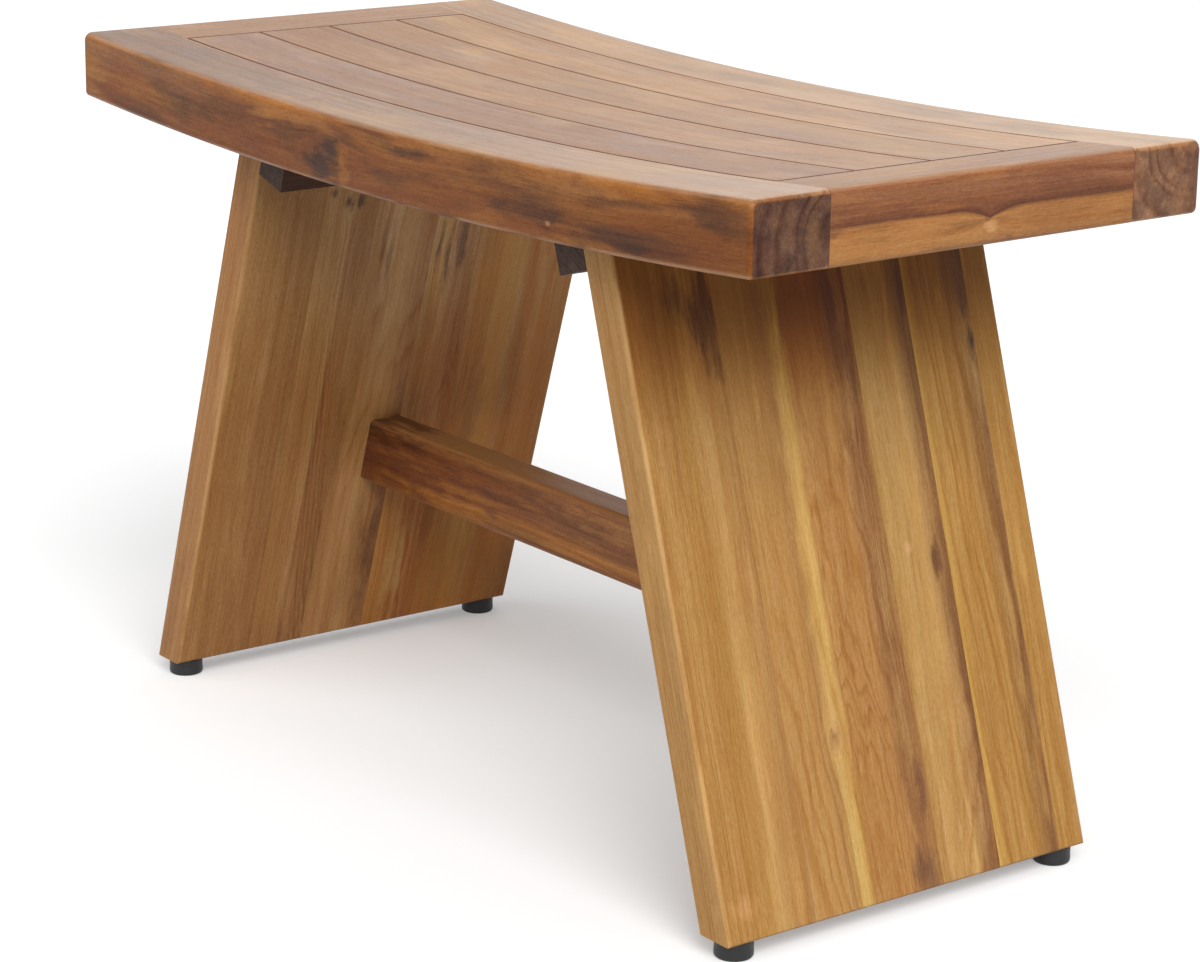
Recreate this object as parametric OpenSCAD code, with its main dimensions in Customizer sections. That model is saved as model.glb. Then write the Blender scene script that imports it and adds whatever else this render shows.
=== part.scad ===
// Shower bench in oiled teak: a dished slatted seat on two leaning slab legs,
// tied by one low stretcher and standing on four screw-out levelling feet.
// Millimetres. X runs along the seat, Y from front to back, Z up from the floor.
// The origin is on the floor under the middle of the seat.

/* [Seat] */
// Length of the seat
seat_l = 720; // [640:1:860]
// Depth of the seat from front to back
seat_w = 340; // [300:1:400]
// Height of the seat's two ends above the floor
seat_h = 457; // [400:1:520]
// How far the middle of the seat lies below its ends
dish = 14; // [8:0.5:24]
// Thickness of the seat's frame
frame_t = 44; // [38:0.5:56]
// Width of the front and back rails
rail_w = 55; // [44:0.5:70]
// Width of the end rails
end_rail_w = 46; // [40:0.5:70]
// Rounding of the frame's upper outer edges
top_round = 5; // [2:0.5:7]
// Rounding of the frame's lower outer edges
low_round = 3; // [1:0.5:5]
// Rounding of the frame's four upright corners
corner_round = 3; // [1:0.5:6]
// Small bevel where two seat boards meet at a groove
groove_ease = 0.5; // [0.3:0.1:1.5]
// Length of the end rails' tenons in the long rails
frame_tenon_l = 30; // [20:0.5:36]
// Thickness of the end rails' tenons
frame_tenon_t = 14; // [10:0.5:18]
// Shoulder left on each side of an end rail's tenon
frame_tenon_shoulder = 8; // [5:0.5:12]

/* [Slats] */
// Number of slats
slat_count = 4; // [3:1:6]
// Thickness of the slats
slat_t = 22; // [18:0.5:26]
// Drain gap round each slat
slat_gap = 1.4; // [1.2:0.1:4]
// Length of the tongue on each slat's end
tongue_l = 9; // [6:0.5:14]
// Thickness of the slats' tongues
tongue_t = 8; // [6:0.5:10]
// Height left between the tongue and the slat's top
tongue_cover = 7; // [5:0.5:9]

/* [Battens] */
// How far a cross batten runs inward past the cleat
batten_inner = 18; // [14:0.5:30]
// How far a cross batten runs outward past the leg
batten_outer = 16; // [8:0.5:30]
// Length of a batten's tenons in the long rails
batten_tenon_l = 8; // [5:0.5:14]
// Thickness of a batten's tenons
batten_tenon_t = 10; // [6:0.5:12]
// Wood left under a batten's tenon
batten_tenon_cover = 6; // [4:0.5:8]

/* [Legs] */
// How far each leg's lower end stands in from the seat's end
leg_inset = 50; // [30:1:90]
// How far a leg's edges stand back from the seat's front and back
leg_setback = 27.5; // [18:0.5:40]
// Thickness of a leg
leg_t = 27; // [25:0.5:34]
// Lean of each leg from upright, in degrees
leg_lean = 17.5; // [8:0.5:20]
// Rounding of a leg's upright edges
leg_round = 2.5; // [1:0.5:5]
// Bevel along the lower edges of a leg's two faces
leg_ease = 1.5; // [0.5:0.5:3]
// Shares of the right leg's width that its staves take, front to back
right_staves = [66, 47, 54, 46, 50, 22];
// Shares of the left leg's width that its staves take, front to back
left_staves = [58, 44, 52, 38, 46, 47];

/* [Cleats] */
// Thickness of a cleat, square to the leg
cleat_t = 27; // [22:0.5:34]
// Height of a cleat along the leg's face
cleat_h = 20; // [17:0.5:30]
// How far a cleat's ends stand back from the leg's edges
cleat_inset = 1; // [0.5:0.5:12]

/* [Stretcher] */
// Height of the stretcher's underside above the floor
bar_z = 138; // [90:1:200]
// Height of the stretcher
bar_h = 46; // [36:0.5:60]
// Thickness of the stretcher
bar_t = 27; // [22:0.5:34]
// Rounding of the stretcher's long edges
bar_round = 3; // [1:0.5:6]
// Depth of the stretcher's tenons in the legs
bar_tenon_l = 15; // [10:0.5:18]
// Height of the stretcher's tenons
bar_tenon_h = 30; // [20:0.5:32]
// Thickness of the stretcher's tenons
bar_tenon_t = 14; // [10:0.5:16]

/* [Feet] */
// Diameter of a foot pad
pad_d = 23.6; // [20:0.1:26]
// Height of a foot pad
pad_h = 11.7; // [9:0.1:18]
// Rounding of a pad's lower rim
pad_round = 2; // [1:0.1:3]
// Distance of each foot's centre from the leg's edge
foot_inset = 15; // [13:0.5:40]
// Diameter of a foot's threaded stud
stud_d = 6; // [5:0.1:6.4]
// Length of the stud above the pad
stud_reach = 17; // [15:0.5:18]
// Depth left free in the leg above the stud
stud_spare = 3; // [2:0.5:4]
// Depth of the stud in the pad
stud_seat = 7.4; // [5:0.1:8]
// Outer diameter of the threaded insert in the leg
insert_d = 9; // [8.6:0.1:10]
// Length of the threaded insert
insert_l = 14; // [10:0.5:16]
// Running clearance round the stud
stud_play = 0.05; // [0.02:0.01:0.1]
// Gap between a pad and the leg when the foot is screwed right in
pad_gap = 0.3; // [0.2:0.1:0.6]

/* [Screws] */
// Diameter of the screws' shanks
screw_d = 4.5; // [4:0.1:5]
// Diameter of the screws' heads
screw_head_d = 9; // [8:0.1:9.6]
// Length of the screws from cleat to leg
leg_screw_l = 44; // [38:0.5:46]
// Length of the screws from cleat to seat
seat_screw_l = 34; // [30:0.5:36]
// Length of the screws from batten to slat
slat_screw_l = 34; // [28:0.5:36]

/* [Joints] */
// Gap left round a glued tenon, tongue or screw
glue_gap = 0.1; // [0.05:0.01:0.2]

/* [Hidden] */

arc_fn = 1440;          // facets of a whole circle of the seat's dish
round_fn = 48;          // facets of small rounds and bores
past = 5;               // how far a cutting shape runs past what it cuts

// The dish is an arc about a line along Y, high above the seat
seat_r = (pow(seat_l / 2, 2) + dish * dish) / (2 * dish);
arc_z = seat_h - dish + seat_r;
sweep = 2 * asin((seat_l / 2 + past) / seat_r);

inner_w = seat_w - 2 * rail_w;
end_x = seat_l / 2;
end_rail_x = end_x - end_rail_w;
slat_end_x = end_rail_x - slat_gap;
slat_pitch = (inner_w - slat_gap) / slat_count;
slat_w = slat_pitch - slat_gap;

// The leg's two faces, as distances from the middle of the bench at a height z
leg_z = pad_h + pad_gap;
leg_w = seat_w - 2 * leg_setback;
leg_foot_x = end_x - leg_inset;
leg_half = leg_t / cos(leg_lean) / 2;
foot_y = leg_w / 2 - foot_inset;
foot_bore_l = stud_reach + stud_spare;
function leg_mid(z) = leg_foot_x - tan(leg_lean) * (z - leg_z);
function leg_in(z) = leg_mid(z) - leg_half;
function leg_out(z) = leg_mid(z) + leg_half;

// Height of the arc that lies depth below the seat's top
function arc_at(x, depth) = arc_z - sqrt(pow(seat_r + depth, 2) - x * x);

// Where the leg's inner face meets the seat's underside
function meet(x, n) = n == 0 ? x : meet(leg_in(arc_at(x, frame_t)), n - 1);
leg_top_x = meet(leg_in(seat_h), 8);
leg_dir = [-sin(leg_lean), cos(leg_lean)];
leg_normal = [-cos(leg_lean), -sin(leg_lean)];

// The leg and the cleat are planed flat on top and touch the seat's arc along
// the middle of each: top_at gives that flat's height, touching the arc at mid
function slope_at(mid) = mid / sqrt(pow(seat_r + frame_t, 2) - mid * mid);
function top_at(x, mid) = arc_at(mid, frame_t) + slope_at(mid) * (x - mid);
leg_top_mid = leg_top_x + leg_half;
leg_top_z = top_at(leg_top_x, leg_top_mid);

// Corners of the cleat's section, from the leg's face inward
cleat_root = [leg_top_x, leg_top_z] - cleat_h * leg_dir;
cleat_tip = cleat_root + cleat_t * leg_normal;
cleat_top_x = leg_top_x - cleat_t / cos(leg_lean);
cleat_top_mid = (leg_top_x + cleat_top_x) / 2;

batten_x0 = cleat_top_x - batten_inner;
batten_x1 = leg_top_x + 2 * leg_half + batten_outer;
slat_screw_x = batten_x0 + batten_inner / 2;
seat_screw_x = (cleat_root[0] + cleat_top_x) / 2;
seat_screw_z = cleat_tip[1] + tan(leg_lean) * (seat_screw_x - cleat_tip[0]) + screw_head_d / 3;
head_h = (screw_head_d - screw_d) / 2;
leg_screw_at = cleat_tip + leg_dir * cleat_h / 2;
outer_screw_y = (inner_w + leg_w) / 4;
seat_screw_y = [-outer_screw_y, -inner_w / 5, inner_w / 5, outer_screw_y];
leg_screw_y = [-leg_w / 3, 0, leg_w / 3];

teak_top = [0.75, 0.60, 0.50];
teak_side = [0.58, 0.38, 0.25];
teak_leg = [0.74, 0.56, 0.34];
teak_leg_dark = [0.64, 0.44, 0.26];
teak_bar = [0.50, 0.30, 0.18];
dark_wood = [0.27, 0.22, 0.20];
steel = [0.72, 0.72, 0.74];
brass = [0.80, 0.66, 0.36];
black = [0.11, 0.11, 0.12];

// A drawing of the X-Z plane, made solid from y0 to y1
module along_y(y0, y1) {
    translate([0, y1, 0])
        rotate([90, 0, 0])
            linear_extrude(y1 - y0)
                children();
}

// The shape that rounds a corner at the origin whose wood lies in +X +Y
module corner_cut(r) {
    difference() {
        translate([-past, -past])
            square(r + past);
        translate([r, r])
            circle(r, $fn = round_fn);
    }
}

// The strip of the seat's side view between two depths and two places in X
module arc_strip(x0, x1, depth0, depth1) {
    intersection() {
        translate([x0, seat_h - dish - past])
            translate([0, -depth1])
                square([x1 - x0, dish + depth1 + 4 * past]);
        translate([0, arc_z])
            difference() {
                circle(seat_r + depth1, $fn = arc_fn);
                circle(seat_r + depth0, $fn = arc_fn);
            }
    }
}

// The same strip as a solid from y0 to y1
module arc_board(x0, x1, depth0, depth1, y0, y1) {
    along_y(y0, y1)
        arc_strip(x0, x1, depth0, depth1);
}

// Sweeps a section along the dish. The section's X is the distance from the
// arc's line, and its Y points to the front of the bench.
module along_dish() {
    translate([0, 0, arc_z])
        rotate([90, 0, 0])
            rotate([0, 0, -90 - sweep / 2])
                rotate_extrude(angle = sweep, $fn = arc_fn)
                    children();
}

// Rounds the right-hand end of the frame's side view: the centre of a round
// that touches the end and the arc of radius rad, from inside
function end_centre(rad, r) = [end_x - r, arc_z - sqrt(rad * rad - pow(end_x - r, 2))];

module end_round_cut(rad, r, up) {
    centre = end_centre(rad, r);
    to_line = [-centre[0], arc_z - centre[1]] / rad * up;
    reach = r + past;
    difference() {
        polygon([
            centre,
            centre + [reach, 0],
            centre + [reach, 0] + to_line * reach,
            centre + to_line * reach
        ]);
        translate(centre)
            circle(r, $fn = round_fn);
    }
}

// Side view of the whole frame with its two ends rounded
module frame_side() {
    difference() {
        arc_strip(-end_x, end_x, -past, frame_t + past);
        for (side = [0, 1])
            mirror([side, 0]) {
                end_round_cut(seat_r + top_round, top_round, 1);
                end_round_cut(seat_r + frame_t - low_round, low_round, -1);
            }
    }
}

// Section of a long rail, rounded outside
module rail_section() {
    difference() {
        translate([seat_r, inner_w / 2])
            square([frame_t, rail_w]);
        translate([seat_r, seat_w / 2])
            mirror([0, 1])
                corner_cut(top_round);
        translate([seat_r + frame_t, seat_w / 2])
            mirror([1, 0])
                mirror([0, 1])
                    corner_cut(low_round);
    }
}

// The fine bevel along the front rail's inner upper edge, where it meets a slat
module rail_bevel() {
    intersection() {
        along_dish()
            translate([seat_r, inner_w / 2])
                rotate(45)
                    square(groove_ease * sqrt(2), center = true);
        translate([-end_rail_x, -inner_w / 2 - past, 0])
            cube([2 * end_rail_x, 2 * past, seat_h + past]);
    }
}

// A long rail as at the front; side 1 turns it to the back
module long_rail(side) {
    mirror([0, side, 0])
        difference() {
            intersection() {
                along_dish()
                    rail_section();
                along_y(-seat_w / 2 - past, -inner_w / 2 + past)
                    frame_side();
            }
            rail_bevel();
            for (end = [0, 1])
                mirror([end, 0, 0]) {
                    upright_corner_cut();
                    frame_tenon(glue_gap);
                    batten_tenon(glue_gap);
                    seat_screws_one_side(glue_gap);
                }
        }
}

// Rounds the upright corner at the right front
module upright_corner_cut() {
    translate([end_x, -seat_w / 2, seat_h - dish - frame_t - past])
        mirror([1, 0, 0])
            linear_extrude(dish + frame_t + 2 * past)
                corner_cut(corner_round);
}

// Front tenon of the right-hand end rail
module frame_tenon(gap) {
    middle = frame_t / 2;
    arc_board(
        end_rail_x + frame_tenon_shoulder - gap,
        end_x - frame_tenon_shoulder + gap,
        middle - frame_tenon_t / 2 - gap,
        middle + frame_tenon_t / 2 + gap,
        -inner_w / 2 - frame_tenon_l - gap,
        -inner_w / 2 + past * gap
    );
}

// Front tenon of the right-hand batten
module batten_tenon(gap) {
    low = frame_t - batten_tenon_cover;
    arc_board(
        batten_x0 + frame_tenon_shoulder - gap,
        batten_x1 - frame_tenon_shoulder + gap,
        low - batten_tenon_t - gap,
        low + gap,
        -inner_w / 2 - batten_tenon_l - gap,
        -inner_w / 2 + past * gap
    );
}

// Right-hand end rail, between the long rails
module end_rail() {
    difference() {
        union() {
            intersection() {
                along_y(-inner_w / 2, inner_w / 2)
                    intersection() {
                        frame_side();
                        end_rail_side();
                    }
            }
            for (end = [0, 1])
                mirror([0, end, 0])
                    frame_tenon(0);
        }
        arc_board(
            end_rail_x - past,
            end_rail_x + tongue_l - slat_gap + glue_gap,
            tongue_cover - glue_gap,
            tongue_cover + tongue_t + glue_gap,
            -inner_w / 2 + slat_gap,
            inner_w / 2 - slat_gap
        );
    }
}

// Side view of an end rail before its outer end is rounded
module end_rail_side() {
    difference() {
        arc_strip(end_rail_x, end_x, 0, frame_t);
        translate([end_rail_x, arc_at(end_rail_x, 0)])
            rotate(45)
                square(groove_ease * sqrt(2), center = true);
    }
}

// Slat number i, counted from the front, with its two tongues
module slat(i) {
    y0 = -inner_w / 2 + slat_gap + i * slat_pitch;
    difference() {
        union() {
            intersection() {
                along_dish()
                    slat_section(-y0 - slat_w, -y0);
                translate([-slat_end_x, y0 - past, 0])
                    cube([2 * slat_end_x, slat_w + 2 * past, seat_h + past]);
            }
            arc_board(
                -slat_end_x - tongue_l, slat_end_x + tongue_l,
                tongue_cover, tongue_cover + tongue_t,
                y0 + groove_ease, y0 + slat_w - groove_ease
            );
        }
        for (side = [0, 1])
            mirror([side, 0, 0])
                slat_screws_one_side(glue_gap);
    }
}

// Section of a slat from a to b, with its upper edges bevelled
module slat_section(a, b) {
    polygon([
        [seat_r, a + groove_ease],
        [seat_r + groove_ease, a],
        [seat_r + slat_t, a],
        [seat_r + slat_t, b],
        [seat_r + groove_ease, b],
        [seat_r, b - groove_ease]
    ]);
}

// Right-hand cross batten, under the slats and over the leg
module batten() {
    difference() {
        union() {
            arc_board(batten_x0, batten_x1, slat_t, frame_t, -inner_w / 2, inner_w / 2);
            for (end = [0, 1])
                mirror([0, end, 0])
                    batten_tenon(0);
        }
        slat_screws_one_side(glue_gap);
        seat_screws_one_side(glue_gap);
    }
}

// Start of stave i as a share of the leg's width
function share_before(staves, i) = i == 0 ? 0 : staves[i - 1] + share_before(staves, i - 1);

// Plan of a whole leg in the leg's own frame, with its corners rounded
module leg_plan() {
    difference() {
        square([leg_t, leg_w], center = true);
        for (a = [0, 1], b = [0, 1])
            mirror([a, 0])
                mirror([0, b])
                    translate([-leg_t / 2, -leg_w / 2])
                        corner_cut(leg_round);
    }
}

// Side view of the space a leg may fill: level and bevelled at the foot, planed
// to the seat
module leg_side() {
    far = leg_top_mid + seat_h;
    eased_z = leg_z + leg_ease;
    polygon([
        [0, eased_z],
        [leg_in(eased_z), eased_z],
        [leg_in(leg_z) + leg_ease, leg_z],
        [leg_out(leg_z) - leg_ease, leg_z],
        [leg_out(eased_z), eased_z],
        [far, eased_z],
        [far, top_at(far, leg_top_mid)],
        [0, top_at(0, leg_top_mid)]
    ]);
}

// Stave i of the right-hand leg, from its share of the leg's width
module leg_stave(staves, i) {
    total = share_before(staves, len(staves));
    y0 = leg_w * (share_before(staves, i) / total - 0.5);
    y1 = leg_w * (share_before(staves, i + 1) / total - 0.5);
    long = seat_h / cos(leg_lean) + leg_t;
    difference() {
        intersection() {
            translate([leg_foot_x, 0, leg_z])
                rotate([0, -leg_lean, 0])
                    translate([0, 0, -leg_t])
                        linear_extrude(long)
                            intersection() {
                                leg_plan();
                                translate([-leg_t, y0])
                                    square([2 * leg_t, y1 - y0]);
                            }
            along_y(-seat_w / 2, seat_w / 2)
                leg_side();
        }
        bar_tenon(glue_gap);
        leg_screws_one_side(glue_gap);
        for (end = [-1, 1])
            translate([leg_foot_x, end * foot_y, leg_z - past])
                cylinder(d = insert_d + 2 * glue_gap, h = foot_bore_l + past, $fn = round_fn);
    }
}

// Where the cleat's upright side through a lower corner meets its planed top
function cleat_corner(low) =
    let (m = slope_at(cleat_top_mid))
    let (rise = top_at(low[0], cleat_top_mid) - low[1])
    low + leg_dir * rise / (leg_dir[1] - m * leg_dir[0]);

// Right-hand cleat in the angle between the leg and the seat
module cleat() {
    half_l = leg_w / 2 - cleat_inset;
    difference() {
        along_y(-half_l, half_l)
            polygon([
                cleat_root,
                cleat_tip,
                cleat_corner(cleat_tip),
                cleat_corner(cleat_root)
            ]);
        leg_screws_one_side(glue_gap);
        seat_screws_one_side(glue_gap);
        seat_screw_wells();
    }
}

// Side view between the legs, from z0 to z1, running extra into each leg
module between_legs(z0, z1, extra) {
    polygon([
        [-leg_in(z0) - extra, z0],
        [leg_in(z0) + extra, z0],
        [leg_in(z1) + extra, z1],
        [-leg_in(z1) - extra, z1]
    ]);
}

// Stretcher tenons, both ends at once
module bar_tenon(gap) {
    middle = bar_z + bar_h / 2;
    along_y(-bar_tenon_t / 2 - gap, bar_tenon_t / 2 + gap)
        between_legs(
            middle - bar_tenon_h / 2 - gap,
            middle + bar_tenon_h / 2 + gap,
            bar_tenon_l + gap
        );
}

module stretcher() {
    color(teak_bar)
        union() {
            intersection() {
                translate([-leg_foot_x, 0, bar_z + bar_h / 2])
                    rotate([0, 90, 0])
                        linear_extrude(2 * leg_foot_x)
                            bar_section();
                along_y(-bar_t, bar_t)
                    between_legs(bar_z - past, bar_z + bar_h + past, 0);
            }
            bar_tenon(0);
        }
}

module bar_section() {
    difference() {
        square([bar_h, bar_t], center = true);
        for (a = [0, 1], b = [0, 1])
            mirror([a, 0])
                mirror([0, b])
                    translate([-bar_h / 2, -bar_t / 2])
                        corner_cut(bar_round);
    }
}

// A countersunk wood screw: its head's face at the origin, its point along +Z
module wood_screw(long, gap) {
    rotate_extrude($fn = round_fn)
        polygon([
            [0, 0],
            [screw_head_d / 2 + gap, 0],
            [screw_head_d / 2 + gap, 0.4],
            [screw_d / 2 + gap, head_h + 0.4],
            [screw_d / 2 + gap, long - screw_d],
            [0.4, long + gap],
            [0, long + gap]
        ]);
}

// Screws up through the right-hand batten, one into each slat
module slat_screws_one_side(gap) {
    for (i = [0 : slat_count - 1])
        translate([
            slat_screw_x,
            -inner_w / 2 + slat_gap + i * slat_pitch + slat_w / 2,
            arc_at(slat_screw_x, frame_t) + 0.5
        ])
            wood_screw(slat_screw_l, gap);
}

// Screws up through the right-hand cleat: the outer two reach the long rails
module seat_screws_one_side(gap) {
    for (y = seat_screw_y)
        translate([seat_screw_x, y, seat_screw_z])
            wood_screw(seat_screw_l, gap);
}

// Round wells that let those screws' heads sit in the slanted underside
module seat_screw_wells() {
    for (y = seat_screw_y)
        translate([seat_screw_x, y, seat_screw_z - 3 * past])
            cylinder(d = screw_head_d + 2 * glue_gap, h = 3 * past + 0.01, $fn = round_fn);
}

// Screws square through the right-hand cleat into the leg
module leg_screws_one_side(gap) {
    for (y = leg_screw_y)
        translate([leg_screw_at[0], y, leg_screw_at[1]])
            rotate([0, 90 - leg_lean, 0])
                translate([0, 0, 0.3])
                    wood_screw(leg_screw_l, gap);
}

// Threaded inserts in the legs' lower ends
module foot_inserts() {
    color(brass)
        for (side = [-1, 1], end = [-1, 1])
            translate([side * leg_foot_x, end * foot_y, leg_z])
                difference() {
                    cylinder(d = insert_d, h = insert_l, $fn = round_fn);
                    translate([0, 0, -1])
                        cylinder(d = stud_d + 2 * stud_play, h = insert_l + 2, $fn = round_fn);
                }
}

// Threaded stud of one foot
module foot_stud(side, end) {
    color(steel)
        translate([side * leg_foot_x, end * foot_y, pad_h - stud_seat + pad_gap])
            rotate_extrude($fn = round_fn)
                polygon([
                    [0, 0],
                    [stud_d / 2 - 0.6, 0],
                    [stud_d / 2, 0.6],
                    [stud_d / 2, stud_seat + stud_reach - 1.2],
                    [stud_d / 2 - 0.8, stud_seat + stud_reach - 0.4],
                    [0, stud_seat + stud_reach - 0.4]
                ]);
}

// Rubber-like pad of one foot, with the socket for its stud
module foot_pad(side, end) {
    color(black)
        translate([side * leg_foot_x, end * foot_y, 0])
            difference() {
                rotate_extrude($fn = round_fn)
                    pad_section();
                translate([0, 0, pad_h - stud_seat])
                    cylinder(d = stud_d + 2 * stud_play, h = stud_seat + 1, $fn = round_fn);
            }
}

module pad_section() {
    difference() {
        square([pad_d / 2, pad_h]);
        translate([pad_d / 2, 0])
            mirror([1, 0])
                corner_cut(pad_round);
        translate([pad_d / 2, pad_h])
            rotate(45)
                square(0.8, center = true);
    }
}

// The left-hand pieces mirror the right-hand ones
module left() {
    mirror([1, 0, 0])
        children();
}

color(teak_side) long_rail(0);  // front_rail
color(teak_side) long_rail(1);  // back_rail
color(teak_side) left() end_rail();  // left_end_rail
color(teak_side) end_rail();  // right_end_rail

for (i = [0 : slat_count - 1])
    color(teak_top) slat(i);

color(teak_leg_dark) left() batten();  // left_batten
color(teak_leg_dark) batten();  // right_batten

for (i = [0 : len(left_staves) - 1])
    color(i % 2 == 0 ? teak_leg : teak_leg_dark) left() leg_stave(left_staves, i);
for (i = [0 : len(right_staves) - 1])
    color(i % 2 == 0 ? teak_leg_dark : teak_leg) leg_stave(right_staves, i);

color(dark_wood) left() cleat();  // left_cleat
color(dark_wood) cleat();  // right_cleat
stretcher();

color(steel) left() slat_screws_one_side(0);  // left_slat_screws
color(steel) slat_screws_one_side(0);  // right_slat_screws
color(steel) left() seat_screws_one_side(0);  // left_seat_screws
color(steel) seat_screws_one_side(0);  // right_seat_screws
color(steel) left() leg_screws_one_side(0);  // left_leg_screws
color(steel) leg_screws_one_side(0);  // right_leg_screws

foot_inserts();
foot_stud(-1, -1);  // front_left_stud
foot_stud(1, -1);  // front_right_stud
foot_stud(-1, 1);  // back_left_stud
foot_stud(1, 1);  // back_right_stud
foot_pad(-1, -1);  // front_left_pad
foot_pad(1, -1);  // front_right_pad
foot_pad(-1, 1);  // back_left_pad
foot_pad(1, 1);  // back_right_pad
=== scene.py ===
# %% [markdown]
# # A dished teak shower bench, dressed in Blender
# This lesson takes a bench whose every board, screw and foot is already cut in
# CAD, and gives it the look of oiled teak. Most boards keep the shapes they
# have. What we add is the wood itself, as patterns that are worked out from
# each board's own place in the log, and the pieces that are too fine for CAD:
# the smooth rounds of the curved rails, screw threads and the tread of a foot.

import math

import bmesh
import bpy
import numpy as np
from mathutils import Matrix, Vector


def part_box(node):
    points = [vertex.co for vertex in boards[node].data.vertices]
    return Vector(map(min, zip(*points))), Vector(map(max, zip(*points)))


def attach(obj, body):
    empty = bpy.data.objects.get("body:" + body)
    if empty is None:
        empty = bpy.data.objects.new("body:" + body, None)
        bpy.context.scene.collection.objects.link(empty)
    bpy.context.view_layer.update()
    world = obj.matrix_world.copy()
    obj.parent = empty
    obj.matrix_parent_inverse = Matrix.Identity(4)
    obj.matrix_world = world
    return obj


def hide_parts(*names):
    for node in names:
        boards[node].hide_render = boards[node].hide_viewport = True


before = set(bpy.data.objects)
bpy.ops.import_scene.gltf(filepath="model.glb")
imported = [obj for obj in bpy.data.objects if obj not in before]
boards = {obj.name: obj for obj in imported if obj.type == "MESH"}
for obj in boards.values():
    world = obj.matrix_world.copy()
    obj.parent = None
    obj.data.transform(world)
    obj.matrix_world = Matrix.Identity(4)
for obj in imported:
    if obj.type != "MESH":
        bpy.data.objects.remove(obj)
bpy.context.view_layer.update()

# %% [markdown]
# ## Camera
# The picture is taken from the front right, a little above the seat, with a
# long lens, so the far end is only slightly smaller than the near one. The
# place, the direction and the lens were solved from the corners of the bench.
# A camera looks along its own minus Z, so its matrix is built from three
# directions: right, up and back.

# %% The camera of the photograph
lens_right = Vector((0.60324, 0.79744, 0.01383)).normalized()
lens_up = Vector((-0.22269, 0.15176, 0.96300)).normalized()
lens_back = lens_right.cross(lens_up).normalized()
lens_up = lens_back.cross(lens_right)
lens_place = Vector((1.7281, -1.3111, 0.7995))

camera_data = bpy.data.cameras.new("camera")
camera_data.sensor_width = 36.0
camera_data.lens = 103.2
camera_data.clip_start = 0.05
camera_data.clip_end = 60.0
camera = bpy.data.objects.new("camera", camera_data)
lens_turn = Matrix((lens_right, lens_up, lens_back)).transposed().to_4x4()
camera.matrix_world = Matrix.Translation(lens_place) @ lens_turn
bpy.context.scene.collection.objects.link(camera)
bpy.context.scene.camera = camera
bpy.context.scene.view_settings.view_transform = "Standard"
print("camera at", [round(v, 3) for v in lens_place], "lens", camera_data.lens)

# %% [markdown]
# ## Small helpers for materials
# A Blender material is a tree of nodes. Made by hand each node takes four or
# five lines, so one helper makes a node, sets it and joins it in one call. A
# second helper does sums. Colours are written as a paint chart gives them,
# from 0 to 255, and turned into the linear light that the renderer works in.

# %% Node helpers
def paint(red, green, blue):
    """A chart colour as linear light: each share c of 255 becomes ((c + 0.055) / 1.055) to the power 2.4."""
    share = np.array([red, green, blue]) / 255
    light = np.where(share <= 0.04045, share / 12.92, ((share + 0.055) / 1.055) ** 2.4)
    return (*light.tolist(), 1.0)


def feed(tree, node, feeds):
    """Joins each output in feeds to its input on the node, and sets any other value on it."""
    for slot, value in feeds.items():
        if isinstance(value, bpy.types.NodeSocket):
            tree.links.new(value, node.inputs[slot])
        else:
            node.inputs[slot].default_value = value


def add_node(tree, kind, feeds=None, **settings):
    """Adds a node of a kind, with its settings and what feeds it."""
    made = tree.nodes.new(kind)
    for key, value in settings.items():
        setattr(made, key, value)
    feed(tree, made, feeds or {})
    return made


def reckon(tree, operation, first, second=0.0, third=0.0):
    """One sum on numbers, such as ADD or MULTIPLY_ADD, and its output."""
    return add_node(tree, "ShaderNodeMath", {0: first, 1: second, 2: third}, operation=operation).outputs[0]


def shift(tree, operation, first, second):
    """One sum on points, such as ADD or MULTIPLY, and its output."""
    return add_node(tree, "ShaderNodeVectorMath", {0: first, 1: second}, operation=operation).outputs[0]


def measure(tree, operation, first, second=(0.0, 0.0, 0.0)):
    """One number from points: their LENGTH or DOT_PRODUCT."""
    return add_node(tree, "ShaderNodeVectorMath", {0: first, 1: second}, operation=operation).outputs["Value"]


def cloud(tree, point, size, seed, detail, output="Fac"):
    """Noise from 0 to 1 with lumps 1 / size metres long in x, y and z. Each seed takes another part of it."""
    place = shift(tree, "MULTIPLY", point, size)
    place = shift(tree, "ADD", place, (seed * 7.31, seed * 3.17, seed * 5.53))
    feeds = {"Vector": place, "Scale": 1.0, "Detail": detail, "Roughness": 0.55}
    return add_node(tree, "ShaderNodeTexNoise", feeds).outputs[output]


def between(tree, value, low, high):
    """Eases from 0 where value is low to 1 where it is high."""
    feeds = {"Value": value, "From Min": low, "From Max": high, "To Min": 0.0, "To Max": 1.0}
    return add_node(tree, "ShaderNodeMapRange", feeds, interpolation_type="SMOOTHSTEP").outputs[0]


def patches(tree, point, size, seed, detail, low, high):
    """Noise that eases from 0 where it is low to 1 where it is high, so that it shows as separate patches."""
    return between(tree, cloud(tree, point, size, seed, detail), low, high)


def tint(tree, share, base, colour):
    """Mixes a colour over a base, by a share from 0 to 1."""
    made = add_node(tree, "ShaderNodeMix", data_type="RGBA")
    feed(tree, made, {0: share, 6: base, 7: colour})
    return made.outputs[2]


def wash(tree, patch, strength, base, shade):
    """Paints a chart colour over a base, by a patch's share times a strength."""
    return tint(tree, reckon(tree, "MULTIPLY", patch, strength), base, paint(*shade))


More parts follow.
